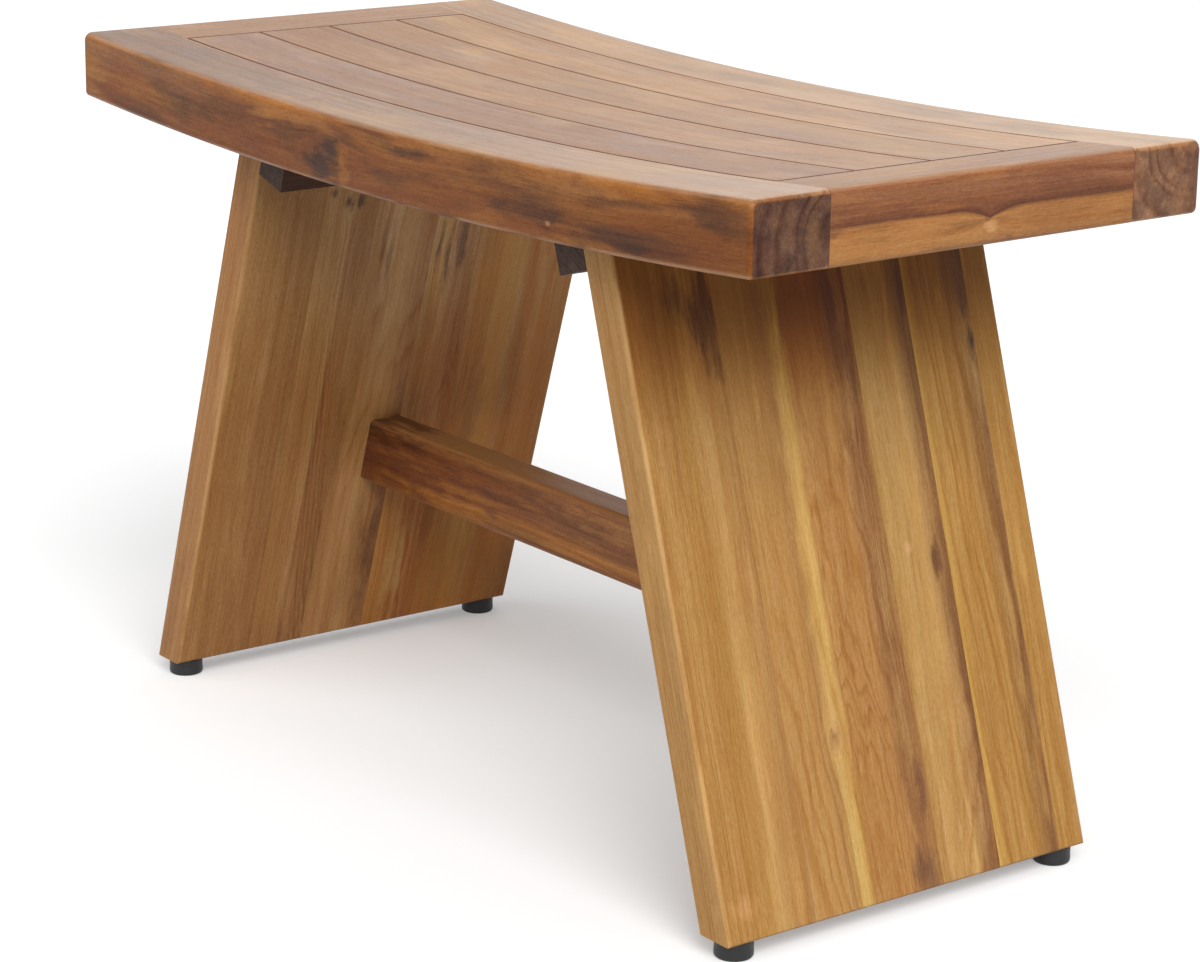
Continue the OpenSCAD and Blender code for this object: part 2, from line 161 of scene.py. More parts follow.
def ramp(tree, value, stops):
    """A colour for each value from 0 to 1, by straight lines between the stops."""
    made = add_node(tree, "ShaderNodeValToRGB", {"Fac": value})
    bar = made.color_ramp
    while len(bar.elements) < len(stops):
        bar.elements.new(0.5)
    for element, (place, colour) in zip(bar.elements, stops):
        element.position = place
        element.color = colour
    return made.outputs["Color"]


def new_material(name):
    """An empty material and its tree."""
    material = bpy.data.materials.new(name)
    material.use_nodes = True
    material.node_tree.nodes.clear()
    return material, material.node_tree


def finish_surface(tree, colour, rough, height, strength, distance, metallic=0.0, shine=0.5):
    """Bump from a height, then the shader. Plain numbers are set on the shader's own sockets."""
    bump = add_node(tree, "ShaderNodeBump", {"Height": height, "Strength": strength, "Distance": distance})
    feeds = {"Base Color": colour, "Roughness": rough, "Normal": bump.outputs[0]}
    feeds.update({"Metallic": metallic, "Specular IOR Level": shine})
    surface = add_node(tree, "ShaderNodeBsdfPrincipled", feeds)
    add_node(tree, "ShaderNodeOutputMaterial", {"Surface": surface.outputs[0]})


print("helpers ready")

# %% [markdown]
# ## How a teak board is made
# A board is cut from a log, so its pattern is the log's pattern: rings round
# the heart, fibres along it, and slow streaks of darker and paler wood. If
# the colour is worked out in space and not on the surface, the rings show as
# arcs on the ends and as long flames on the faces, and the two meet at the
# edges as they do in wood. The board's own axes are x along the grain, y
# across its face and z through it. The seat's boards lie in an arc, so for
# them the arc's rise is first taken off the height. The arc's radius comes
# from half the bench's length and the depth of the dish.

# %% A board's own axes
HALF_LENGTH = 0.360
DISH = 0.014
SEAT_RADIUS = (HALF_LENGTH ** 2 + DISH ** 2) / (2 * DISH)


def board_point(tree, seen, place, turn, bowed):
    """The point in the board's own axes: moved, turned back, and laid straight if the board is bowed."""
    feeds = {"Vector": seen, "Location": place, "Rotation": turn}
    point = add_node(tree, "ShaderNodeMapping", feeds, vector_type="TEXTURE").outputs[0]
    if not bowed:
        return point
    axes = add_node(tree, "ShaderNodeSeparateXYZ", {0: point}).outputs
    square = reckon(tree, "MULTIPLY", axes[0], axes[0])
    lifted = reckon(tree, "MULTIPLY_ADD", square, -0.5 / SEAT_RADIUS, axes[2])
    return add_node(tree, "ShaderNodeCombineXYZ", {0: axes[0], 1: axes[1], 2: lifted}).outputs[0]


print("seat arc radius", round(SEAT_RADIUS, 3))

# %% [markdown]
# ## Rings, fibres and marks
# `heart` says where the log's middle lies from the board's, and `ring` how
# wide one year is. A year starts pale and ends in a thin dark line. No fibre
# is straight: slow and quick noise push each point aside, and round a knot
# the fibres also part or close in. A mark, such as a knot or a stain, is an
# egg with a ragged outline. Marks that lie on one face share their depth, so
# they are written as short rows in millimetres, and one helper fills it in.

# %% Rings, fibres and marks
HALF = (0.5, 0.5, 0.5)


def bent_fibre(tree, point, seed, wave, ripple, knots):
    """Two points: one pushed aside by slow and quick noise, and one that the knots push further."""
    slow = cloud(tree, point, (3.0, 11, 11), seed, 1.0, "Color")
    quick = cloud(tree, point, (16, 70, 70), seed + 1, 2.0, "Color")
    bend = shift(tree, "MULTIPLY", shift(tree, "SUBTRACT", slow, HALF), (0.0, 2 * wave, 2 * wave))
    shake = shift(tree, "MULTIPLY", shift(tree, "SUBTRACT", quick, HALF), (0.0, ripple, ripple))
    loose = shift(tree, "ADD", shift(tree, "ADD", point, bend), shake)
    fibre = loose
    for place, reach, push in knots:
        away = shift(tree, "SUBTRACT", point, place)
        far = measure(tree, "LENGTH", shift(tree, "MULTIPLY", away, (0.4, 1.0, 1.0)))
        share = reckon(tree, "MULTIPLY", reckon(tree, "DIVIDE", between(tree, far, reach, 0.0), far), push)
        feeds = {0: shift(tree, "MULTIPLY", away, (0.0, 1.0, 1.0)), "Scale": share}
        aside = add_node(tree, "ShaderNodeVectorMath", feeds, operation="SCALE").outputs[0]
        fibre = shift(tree, "ADD", fibre, aside)
    return loose, fibre


def late_wood(tree, fibre, heart, ring, lean):
    """How near a point is to the dark end of a year: 0 to 1, from its distance to the leaning heart."""
    across = measure(tree, "DOT_PRODUCT", fibre, (lean[0], 1.0, 0.0))
    through = measure(tree, "DOT_PRODUCT", fibre, (lean[1], 0.0, 1.0))
    feeds = {0: 0.0, 1: reckon(tree, "ADD", across, -heart[0]), 2: reckon(tree, "ADD", through, -heart[1])}
    radius = measure(tree, "LENGTH", add_node(tree, "ShaderNodeCombineXYZ", feeds).outputs[0])
    feeds = {"W": radius, "Scale": 0.35 / ring, "Detail": 1.0}
    years = add_node(tree, "ShaderNodeTexNoise", feeds, noise_dimensions="1D")
    phase = reckon(tree, "MULTIPLY_ADD", years.outputs[0], 2.6, reckon(tree, "DIVIDE", radius, ring))
    shares = [(0.0, 0.35), (0.10, 0.0), (0.55, 0.15), (0.88, 1.0), (1.0, 0.35)]
    return ramp(tree, reckon(tree, "FRACT", phase), [(at, (v, v, v, 1.0)) for at, v in shares])


def marks(axis, depth, reach, rows):
    """Marks on one face: rows hold two places and two sizes in millimetres, a strength and a colour."""
    made = []
    for first, second, long, wide, strength, shade in rows:
        place = [first / 1000, second / 1000]
        place.insert(axis, depth)
        size = [long / 1000, wide / 1000]
        size.insert(axis, reach)
        made.append((place, size, strength, shade))
    return made


def spot(tree, point, place, size, seed):
    """A soft patch: 1 at its place, easing to 0 on the edge of an egg of that size, with a ragged outline."""
    ragged = cloud(tree, point, (38, 150, 150), seed + 11, 5.0)
    away = shift(tree, "DIVIDE", shift(tree, "SUBTRACT", point, place), size)
    far = reckon(tree, "ADD", measure(tree, "LENGTH", away), -1.25)
    return between(tree, reckon(tree, "MULTIPLY_ADD", ragged, 2.5, far), 1.0, 0.15)


def near_arris(tree, point, middle, half_width, half_depth, reach):
    """1 on the board's long edges, 0 beyond reach: by the distance to the corner of its section."""
    axes = add_node(tree, "ShaderNodeSeparateXYZ", {0: point}).outputs
    side = reckon(tree, "ABSOLUTE", reckon(tree, "ADD", axes[1], -middle))
    side = reckon(tree, "ADD", side, -half_width)
    deep = reckon(tree, "ADD", reckon(tree, "ABSOLUTE", axes[2]), -half_depth)
    corner = add_node(tree, "ShaderNodeCombineXYZ", {0: 0.0, 1: side, 2: deep}).outputs[0]
    return between(tree, measure(tree, "LENGTH", corner), reach, 0.3 * reach)


print("log helpers ready")

# %% [markdown]
# ## The whole recipe
# Colours across the board come from a ramp, because a board takes in paler
# sapwood on one side and dark heartwood on the other. Clouds and spots are
# painted over it. Then all of the fine figure goes into one exponent. A colour
# raised to a power above 1 gets darker and redder at once, which is just what
# denser teak does. The figure is noise stretched along the grain, at six
# sizes: wide bands, narrow streaks, veins, hairs, flecks and the short dark
# pores that teak is known by. Ends are cut across the fibres, drink more oil
# and turn a mottled purple brown. Faces that look up are painted paler, partly
# as bleaching by water and partly as painted sheen that changes from one end
# to the other, and they carry damp patches and stains. Edges are painted pale,
# partly as rubbing and partly as a painted highlight. A band of painted shade
# runs beside each gap between boards. A leg's top under the seat gets painted
# shade, or painted light where its strength is below 0.

# %% The teak recipe
# The first colour is painted shade, laid at the gap strength given below it, beside each gap between boards.
GAP_SHADE = (84, 50, 32)
RINGS = 0.22
STREAKS = (0.14, 0.17, 0.16, 0.20)
VEINS = 0.10
PORES = 0.12
CUT_RINGS = 0.06
CUT_STRENGTH = 0.75
GAP_SHADE_STRENGTH = 0.7
PLAIN_BOARD = dict(
    slant=(1.0, 0.0), heart=(0.03, -0.09), ring=0.004, lean=(0.02, 0.01), wave=0.004, ripple=0.002, knots=(),
    bowed=False, grain=(1.0, 0.0, 0.0), clouds=(), spots=(), stains=(), sheltered=None, bleach=0.0,
    bleached=None, damp=(), cut=((92, 60, 50), (112, 78, 56)), rubbed=None, grooves=(), rough=0.5, shine=0.25,
)


def teak(name, place, turn, width, tones, seed, **given):
    """Oiled teak for one board. Tones are colours across the board, from 0 at one edge to 1 at the other."""
    board = {**PLAIN_BOARD, **given}
    material, tree = new_material(name)
    source = add_node(tree, "ShaderNodeTexCoord").outputs
    point = board_point(tree, source["Object"], place, turn, board["bowed"])
    loose, fibre = bent_fibre(tree, point, seed, board["wave"], board["ripple"], board["knots"])
    late = late_wood(tree, fibre, board["heart"], board["ring"], board["lean"])
    plain = patches(tree, fibre, (2.5, 18, 18), seed + 9, 1.0, 0.40, 0.60)

    wide = cloud(tree, fibre, (1.6, 55, 55), seed + 2, 2.0)
    narrow = cloud(tree, fibre, (3.5, 230, 230), seed + 3, 3.0)
    hair = cloud(tree, fibre, (12, 760, 760), seed + 4, 3.0)
    fleck = cloud(tree, fibre, (320, 1100, 1100), seed + 6, 2.0)
    vein = patches(tree, fibre, (2.4, 95, 95), seed + 8, 5.0, 0.56, 0.66)
    pores = patches(tree, fibre, (85, 1500, 1500), seed + 5, 1.0, 0.58, 0.70)

    def faces(direction):
        """How squarely the surface looks in a direction, from -1 to 1."""
        return measure(tree, "DOT_PRODUCT", source["Normal"], direction)

    end = between(tree, reckon(tree, "ABSOLUTE", faces(board["grain"])), 0.80, 0.97)

    power = reckon(tree, "MULTIPLY", reckon(tree, "ADD", late, -0.3), RINGS)
    power = reckon(tree, "MULTIPLY_ADD", power, plain, 1.0)
    for lump, weight in zip((wide, narrow, hair, fleck), STREAKS):
        power = reckon(tree, "MULTIPLY_ADD", reckon(tree, "ADD", lump, -0.5), weight * 2, power)
    power = reckon(tree, "MULTIPLY_ADD", vein, VEINS, power)
    power = reckon(tree, "MULTIPLY_ADD", pores, PORES, power)
    power = reckon(tree, "MULTIPLY_ADD", reckon(tree, "MULTIPLY", end, late), CUT_RINGS, power)
    # Painted shade under the seat: the leg's top is darkened, or lightened as painted light where the
    # strength is below 0.
    if board["sheltered"]:
        start, full, strength = board["sheltered"]
        wide_face = between(tree, faces((0.0, 1.0, 0.0)), -0.6, -0.2)
        along = add_node(tree, "ShaderNodeSeparateXYZ", {0: point}).outputs[0]
        shade = reckon(tree, "MULTIPLY", between(tree, along, start, full), wide_face)
        power = reckon(tree, "MULTIPLY_ADD", shade, strength, power)

    spread = measure(tree, "DOT_PRODUCT", fibre, (0.0, board["slant"][0] / width, board["slant"][1] / width))
    colour = ramp(tree, reckon(tree, "ADD", spread, 0.5), [(at, paint(*tone)) for at, tone in tones])
    for size, low, high, strength, shade in board["clouds"]:
        patch = patches(tree, fibre, size, seed + 60 * low, 4.0, low, high)
        colour = wash(tree, patch, strength, colour, shade)
    for at, size, strength, shade in board["spots"]:
        colour = wash(tree, spot(tree, loose, at, size, seed + 20 * at[0]), strength, colour, shade)
    # Faces that look up are painted paler and calmer: partly bleaching by water, partly painted sheen, which
    # changes from one end of the board to the other.
    if board["bleach"]:
        up = between(tree, faces((0.0, 0.0, 1.0)), 0.70, 0.98)
        along = add_node(tree, "ShaderNodeSeparateXYZ", {0: point}).outputs[0]
        along = reckon(tree, "MULTIPLY_ADD", along, 1.4, 0.5)
        pale = tint(tree, along, *[paint(*shade) for shade in board["bleached"]])
        colour = tint(tree, reckon(tree, "MULTIPLY", up, board["bleach"]), colour, pale)
        calmed = reckon(tree, "MULTIPLY", up, -0.45)
        power = reckon(tree, "MULTIPLY_ADD", reckon(tree, "ADD", power, -1.0), calmed, power)
        for size, low, high, strength, shade in board["damp"]:
            patch = patches(tree, fibre, size, seed + 90 * low, 4.0, low, high)
            colour = wash(tree, reckon(tree, "MULTIPLY", patch, up), strength, colour, shade)
    blotch = patches(tree, point, (30, 90, 90), seed + 12, 5.0, 0.42, 0.62)
    open_end = tint(tree, blotch, *[paint(*shade) for shade in board["cut"]])
    colour = tint(tree, reckon(tree, "MULTIPLY", end, CUT_STRENGTH), colour, open_end)
    for at, size, strength, shade in board["stains"]:
        colour = wash(tree, spot(tree, loose, at, size, seed + 20 * at[0]), strength, colour, shade)
    colour = add_node(tree, "ShaderNodeGamma", {"Color": colour, "Gamma": power}).outputs[0]
    # Edges are painted pale: partly rubbed wear, partly a painted highlight along the arris.
    if board["rubbed"]:
        *edges, reach, strength, shade = board["rubbed"]
        worn_and_highlighted = near_arris(tree, point, *edges, reach)
        broken = patches(tree, point, (22, 120, 120), seed + 7, 3.0, 0.30, 0.62)
        colour = wash(tree, reckon(tree, "MULTIPLY", worn_and_highlighted, broken), strength, colour, shade)
    # Painted shade: a dark band along the board's edge beside each gap.
    for direction, reach in board["grooves"]:
        near = between(tree, measure(tree, "DOT_PRODUCT", point, direction), reach - 0.0008, reach - 0.0002)
        colour = wash(tree, near, GAP_SHADE_STRENGTH, colour, GAP_SHADE)

    sheen = reckon(tree, "MULTIPLY_ADD", pores, 0.10, board["rough"] - 0.07)
    sheen = reckon(tree, "MULTIPLY_ADD", narrow, 0.14, sheen)
    height = reckon(tree, "MULTIPLY_ADD", pores, -0.6, reckon(tree, "MULTIPLY_ADD", late, -0.25, hair))
    height = reckon(tree, "MULTIPLY_ADD", fleck, 0.5, height)
    finish_surface(tree, colour, sheen, height, 0.45, 0.0003, shine=board["shine"])
    return material


def dress(node, material):
    """Gives a CAD node its finish."""
    mesh = boards[node].data
    mesh.materials.clear()
    mesh.materials.append(material)


print("teak recipe ready")

# %% [markdown]
# ## The two legs
# Each leg is a slab glued up from six staves, and it is the staves that make
# the leg lively: no two come from the same log. The staves are listed from
# front to back: their widths, their colours across, and the marks that each
# one carries. A mark's row gives how far it lies up the leg and from the
# stave's middle line, its half length and half width, its strength and its
# colour. A knot's row gives its place, its reach, and how far it pushes the
# fibres. Waves say how far the fibres stray, slowly and quickly. All of these
# lengths are in millimetres. The seat shade is painted shade: how much darker
# the wood is painted under the seat, or, below 0, how much paler it is painted
# there as painted light.

# %% Staves of the right leg
LEAN = math.radians(17.5)
LEG_WIDTH = 0.285
LEG_FOOT = (0.310, 0.012)
HALF_LEG = 0.0135
RIGHT_WIDTHS = [66, 47, 54, 46, 50, 22]
BROWN = (156, 112, 62)
DARK = (136, 92, 52)
DARKEST = (118, 78, 42)
GOLDEN = (170, 126, 70)
OCHRE = (164, 120, 60)
PALE = (182, 140, 82)
RUSSET = (164, 116, 62)
SAND = (174, 134, 78)
YELLOW = (188, 148, 78)
RIGHT_TONES = [
    [(0.0, GOLDEN), (0.5, OCHRE), (0.65, PALE), (0.8, GOLDEN), (1.0, BROWN)],
    [(0.0, GOLDEN), (0.55, GOLDEN), (0.66, BROWN), (0.9, YELLOW), (1.0, OCHRE)],
    [(0.0, RUSSET), (0.55, RUSSET), (0.7, DARK), (0.85, DARK), (1.0, BROWN)],
    [(0.0, SAND), (0.3, SAND), (0.6, PALE), (0.9, DARKEST), (1.0, DARKEST)],
    [(0.0, YELLOW), (0.15, OCHRE), (0.6, OCHRE), (0.95, DARKEST), (1.0, DARK)],
    [(0.0, OCHRE), (1.0, OCHRE)],
]
RIGHT_SPOTS = [
    [(372, 8, 24, 15, 0.45, (84, 50, 30)),
     (356, 25, 50, 15, 0.6, (98, 60, 36)),
     (16, -20, 10, 16, 0.5, (196, 146, 92))],
    [(365, 18, 75, 8, 0.55, (150, 106, 60)),
     (240, 19, 110, 14, 0.35, (210, 164, 98)),
     (94, 19, 36, 7, 0.7, (168, 122, 68)),
     (99, 12, 13, 7.2, 0.75, (132, 84, 46)),
     (104, 15, 6, 3.2, 0.7, (206, 152, 98))],
    [(180, 19, 46, 9, 0.55, (160, 122, 70)),
     (105, 14, 40, 7, 0.45, (170, 130, 77)),
     (300, 18, 50, 7, 0.45, (106, 68, 42)),
     (55, 20, 26, 5, 0.6, (94, 60, 40)),
     (8, 14, 16, 22, 0.6, (92, 60, 42))],
    [(110, 8, 100, 10, 0.5, (180, 138, 82)),
     (225, 16, 30, 8, 0.5, (164, 120, 70)),
     (90, 14, 70, 6, 0.6, (166, 122, 72)),
     (190, 13.6, 18, 6.8, 0.8, (94, 55, 32)),
     (199, -8, 5, 5, 0.5, (206, 158, 112)),
     (40, -4, 90, 30, 0.28, (156, 108, 60))],
    [(315, 23.5, 14, 4.8, 1.0, (50, 29, 18)),
     (340, 20, 20, 4, 0.6, (96, 60, 34))],
    [],
]
RIGHT_KNOTS = [
    [], [(100, 12.6, 18, -4)], [(55, 20, 20, -3)], [(189, 13.6, 18, -4)], [(315, 23.5, 16, -3)], [],
]


def stave_centres(widths):
    """Middle of each stave across the leg: the widths before it, plus half its own, less half of all."""
    ends = np.cumsum(widths)
    return (ends - np.array(widths) / 2 - ends[-1] / 2) * LEG_WIDTH / ends[-1]


def dress_leg(side, widths, tones, spots, knots, waves, shelter, clouds, reach, first_seed):
    """Gives each stave of one leg its own teak, with the grain running up the leaning slab."""
    sign = 1 if side == "right" else -1
    turn = (0.0, -(math.pi / 2 + sign * LEAN), 0.0)
    grain = (-sign * math.sin(LEAN), 0.0, math.cos(LEAN))
    for i, centre in enumerate(stave_centres(widths)):
        chance = np.random.default_rng(first_seed + i)
        heart = (chance.uniform(-0.05, 0.05), chance.choice([-1, 1]) * chance.uniform(0.05, 0.14))
        lean = (chance.uniform(-0.02, 0.02), chance.uniform(-0.04, 0.04))
        wave, ripple = np.divide(waves[i], 1000)
        bends = [((up, aside, -HALF_LEG), size, push) for up, aside, size, push in np.divide(knots[i], 1000)]
        wood = teak(
            f"{side}_stave_{i + 1}_teak", (sign * LEG_FOOT[0], centre, LEG_FOOT[1]), turn, widths[i] / 1000,
            tones[i], seed=first_seed + 3.1 * i, heart=heart, ring=chance.uniform(0.0016, 0.003), lean=lean,
            wave=wave, ripple=ripple, knots=bends, clouds=clouds, spots=marks(2, -HALF_LEG, 0.03, spots[i]),
            grain=grain, sheltered=(*reach, shelter[i]),
            rubbed=(-centre, LEG_WIDTH / 2, HALF_LEG, 0.0030, 0.35, (206, 168, 116)), rough=0.52,
        )
        dress(f"{side}_leg_stave_{i + 1}", wood)
    print(side, "leg dressed,", len(widths), "staves")


RIGHT_WAVES = [(4, 3), (5, 3), (8, 7), (8, 6), (5, 3), (4, 3)]
# Painted shade under the seat, one strength for each stave of the right leg.
RIGHT_PAINTED_SHADE = [0.48, 0.38, 0.72, 0.50, 0.48, 0.28]
RIGHT_CLOUDS = [
    ((7, 60, 60), 0.50, 0.66, 0.26, (148, 98, 54)),
    ((12, 90, 90), 0.54, 0.70, 0.30, (206, 160, 92)),
]
dress_leg("right", RIGHT_WIDTHS, RIGHT_TONES, RIGHT_SPOTS, RIGHT_KNOTS, RIGHT_WAVES, RIGHT_PAINTED_SHADE,
          RIGHT_CLOUDS, reach=(0.285, 0.365), first_seed=10)

# %% Staves of the left leg
LEFT_WIDTHS = [58, 44, 52, 38, 46, 47]
# The left staves run from darker at the front to paler at the back: partly their own colours, partly painted
# shade on the front staves and painted light on the back ones, evening out how the lamps reach them.
LEFT_TONES = [
    [(0.0, (160, 112, 61)), (0.3, (154, 107, 57)), (0.8, (151, 103, 56)), (1.0, (149, 102, 54))],
    [(0.0, (162, 113, 61)), (0.5, (163, 115, 63)), (0.56, (140, 90, 49)), (0.66, (157, 106, 57)),
     (1.0, (151, 103, 56))],
    [(0.0, (166, 117, 67)), (0.2, (180, 129, 77)), (0.5, (189, 139, 83)), (0.75, (176, 125, 74)),
     (1.0, (159, 104, 58))],
    [(0.0, (184, 125, 63)), (0.3, (182, 123, 60)), (0.6, (168, 104, 51)), (1.0, (168, 104, 51))],
    [(0.0, (172, 110, 50)), (0.35, (183, 118, 52)), (0.6, (199, 135, 63)), (1.0, (199, 137, 65))],
    [(0.0, (190, 126, 64)), (0.5, (197, 131, 67)), (1.0, (190, 126, 64))],
]
LEFT_SPOTS = [
    [],
    [(372, -17.9, 5, 5, 0.8, (62, 44, 26)),
     (364, -4.3, 8, 6, 0.95, (56, 34, 20)),
     (363, 5.7, 8, 5, 0.95, (56, 34, 20))],
    [(322, -17, 34, 4, 0.6, (98, 60, 34)),
     (322, -10, 34, 4, 0.6, (98, 60, 34)),
     (196, 26, 26, 13, 0.4, (96, 60, 32)),
     (90, 22.7, 85, 14, 0.65, (96, 58, 32))],
    [(322, -12, 22, 3.6, 0.8, (60, 38, 24)),
     (308, -3, 38, 4, 0.8, (58, 36, 24)),
     (322, 8, 34, 8.5, 0.75, (78, 50, 32)),
     (194, -8, 24, 14, 0.3, (100, 62, 34)),
     (56, 0, 52, 14, 0.8, (190, 146, 88))],
    [(180, 0, 60, 18, 0.35, (120, 74, 42))],
    [],
]
LEFT_KNOTS = [[], [(362, 1, 16, -3)], [(330, -13.5, 24, 5)], [], [], []]
# Painted light under the seat: below 0, these make the left leg's stave tops paler.
LEFT_PAINTED_LIGHT = [-0.14, -0.22, -0.24, -0.34, -0.18, -0.16]
LEFT_CLOUDS = [
    ((5, 24, 24), 0.46, 0.64, 0.35, (122, 80, 44)),
    ((9, 60, 60), 0.52, 0.70, 0.30, (192, 148, 92)),
]
LEFT_WAVES = [(4, 3), (5, 3), (6, 5), (6, 5), (5, 4), (4, 3)]
dress_leg("left", LEFT_WIDTHS, LEFT_TONES, LEFT_SPOTS, LEFT_KNOTS, LEFT_WAVES, LEFT_PAINTED_LIGHT,
          LEFT_CLOUDS, reach=(0.200, 0.320), first_seed=40)

# %% [markdown]
# ## The slats
# The top has weathered in the shower: under its satin oil the colour is
# painted a little paler and pinker than on the sides, partly as bleaching and
# partly as painted sheen, with soft grey patches where water has stood. The
# four slats differ only slightly, and a fine brown line of painted shade runs
# along their bevelled edges, beside the gaps. A stain's row gives how far it
# lies along the slat and from its middle line, then its sizes, strength and
# colour.

# %% Slats
SEAT_MIDDLE = 0.443
HALF_SLAT = 0.011
SLAT_END = 0.3126
NO_TURN = (0.0, 0.0, 0.0)
DAMP = (
    ((9, 26, 26), 0.44, 0.70, 0.45, (136, 114, 104)),
    ((7, 20, 20), 0.48, 0.72, 0.30, (206, 164, 112)),
    ((14, 30, 30), 0.50, 0.80, 0.20, (222, 196, 174)),
)
SLAT_TONES = [
    [(0.0, (146, 96, 62)), (0.5, (140, 92, 60)), (1.0, (150, 100, 64))],
    [(0.0, (152, 102, 64)), (0.5, (156, 106, 68)), (1.0, (146, 98, 62))],
    [(0.0, (150, 102, 62)), (0.5, (144, 98, 60)), (1.0, (152, 104, 62))],
    [(0.0, (172, 124, 80)), (0.5, (178, 130, 84)), (1.0, (168, 118, 76))],
]
# Each slat's pale top, from its left end to its right: partly bleaching, partly painted sheen, which is
# stronger towards the right.
SLAT_BLEACH_AND_SHEEN = [
    ((142, 114, 98), (168, 128, 96)), ((140, 104, 76), (190, 150, 114)),
    ((156, 116, 80), (190, 152, 118)), ((138, 102, 68), (214, 173, 137)),
]
SLAT_STAINS = [
    [(160, -6, 70, 7, 0.50, (134, 118, 112)),
     (-60, -8, 60, 7, 0.40, (132, 112, 108)),
     (-100, 6, 10, 20, 0.35, (140, 104, 88)),
     (-180, 0, 130, 22, 0.40, (148, 108, 76))],
    [(-200, 4, 30, 12, 0.15, (214, 190, 164)),
     (185, 10, 20, 12, 0.20, (216, 190, 170))],
    [(-200, 10, 22, 14, 0.40, (196, 150, 84)),
     (-120, -6, 60, 12, 0.30, (176, 126, 84))],
    [(45, -10, 18, 14, 0.50, (146, 118, 106)),
     (-180, -12, 60, 8, 0.45, (196, 144, 88)),
     (-270, 4, 26, 14, 0.30, (160, 118, 84))],
]
SEAT_WOOD = dict(damp=DAMP, rough=0.37)
slat_middles = []
for i, tones in enumerate(SLAT_TONES):
    low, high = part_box(f"slat_{i + 1}")
    middle = (low.y + high.y) / 2
    half = (high.y - low.y) / 2
    slat_middles.append(middle)
    wood = teak(
        f"slat_{i + 1}_teak", (0.0, middle, SEAT_MIDDLE - HALF_SLAT), NO_TURN, 2 * half, tones,
        seed=60 + 4 * i, heart=(0.02 - 0.01 * i, -0.07 - 0.01 * i), ring=0.0045, lean=(0.01, 0.02),
        grooves=[((1, 0, 0), SLAT_END), ((-1, 0, 0), SLAT_END), ((0, 1, 0), half), ((0, -1, 0), half)],
        wave=0.006, bowed=True, stains=marks(2, HALF_SLAT, 0.02, SLAT_STAINS[i]), bleach=0.62,
        bleached=SLAT_BLEACH_AND_SHEEN[i], **SEAT_WOOD,
    )
    dress(f"slat_{i + 1}", wood)
print("slats dressed")

# %% [markdown]
# ## New pieces as closed skins
# Every new piece here is a stack of rings: points worked out for two
# parameters, one along the piece and one round it. Numpy computes all of them
# at once. One helper turns such a stack into a mesh, closes both ends with a
# fan of triangles, turns the faces outwards and keeps the edges sharp that
# are meant to be.

# %% A closed skin from rings of points
def skin(name, rings, body, material, stands_for, sharp=35):
    """Rings is an array (copies, rings, turns, 3). Quads join neighbours, and fans close the ends."""
    copies, count, turns, _ = rings.shape
    middles = rings[:, [0, -1]].mean(axis=2)
    points = np.concatenate([rings.reshape(copies, -1, 3), middles], axis=1)
    ring, turn = np.meshgrid(np.arange(count - 1), np.arange(turns), indexing="ij")
    after = (turn + 1) % turns
    here, above = ring * turns, (ring + 1) * turns
    quads = np.stack([here + turn, here + after, above + after, above + turn], -1).reshape(-1, 4)
    last = (count - 1) * turns
    turn = np.arange(turns)
    after = (turn + 1) % turns
    low_fan = np.stack([np.full(turns, count * turns), after, turn], -1)
    high_fan = np.stack([np.full(turns, count * turns + 1), last + turn, last + after], -1)
    faces = []
    for copy in range(copies):
        for part in (quads, low_fan, high_fan):
            faces += (part + copy * points.shape[1]).tolist()
    mesh = bpy.data.meshes.new(name)
    mesh.from_pydata(points.reshape(-1, 3), [], faces)
    shell = bmesh.new()
    shell.from_mesh(mesh)
    bmesh.ops.remove_doubles(shell, verts=shell.verts, dist=1e-7)
    bmesh.ops.recalc_face_normals(shell, faces=shell.faces)
    shell.to_mesh(mesh)
    shell.free()
    mesh.shade_smooth()
    mesh.set_sharp_from_angle(angle=math.radians(sharp))
    mesh.materials.append(material)
    piece = bpy.data.objects.new(name, mesh)
    bpy.context.scene.collection.objects.link(piece)
    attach(piece, body)
    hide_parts(*stands_for)
    print(name, "faces", len(mesh.polygons), "for", ", ".join(stands_for))


print("skin helper ready")

# %% [markdown]
# ## The long rails
# A long rail is a bar with rounded outer edges that follows the dish. Its
# section has to stay upright while the bar curves, so the rail is first drawn
# straight, as x along it, y across it and the depth under the seat's top, and
# then each depth is laid on its own arc. At the two ends every edge is
# rounded as well: there the section is squeezed by what a quarter round takes
# off, which is the radius less the root of its square minus the square of the
# way left. Beside the slats the inner upper edge has a fine bevel, which ends
# where the end rail meets the long rail flush. The front rail's many marks are
# rows again: along the rail and up its face, then sizes, strength and colour.

# %% Straight rail, laid on the arc
SEAT_HEIGHT = 0.457
HALF_WIDTH = 0.170
RAIL = (0.055, 0.044)
TOP_ROUND = 0.005
LOW_ROUND = 0.003
END_RAIL_START = 0.314
BEVEL = 0.0005


def taken_off(radius, way):
    """What a quarter round takes off at a way from the end: radius - sqrt(radius^2 - (radius - way)^2)."""
    left = np.clip(radius - way, 0, radius)
    return radius - np.sqrt(radius ** 2 - left ** 2)


def quarter(centre, radius, start, steps=8):
    """A quarter circle in (y, depth) from a start angle, turning by 90 degrees."""
    angle = np.radians(start) + np.linspace(0, np.pi / 2, steps + 1)
    return np.stack([centre[0] + radius * np.cos(angle), centre[1] + radius * np.sin(angle)], -1)


def rail_section():
    """The section as (y from the outer face, depth): two rounds outside, square and bevelled inside."""
    low = quarter((LOW_ROUND, RAIL[1] - LOW_ROUND), LOW_ROUND, 90)
    top = quarter((TOP_ROUND, TOP_ROUND), TOP_ROUND, 180)
    inner = np.array([(RAIL[0] - BEVEL, 0.0), (RAIL[0], BEVEL), (RAIL[0], RAIL[1])])
    flat = np.linspace(top[-1], inner[0], 6)[1:-1]
    return np.concatenate([low, top, flat, inner])


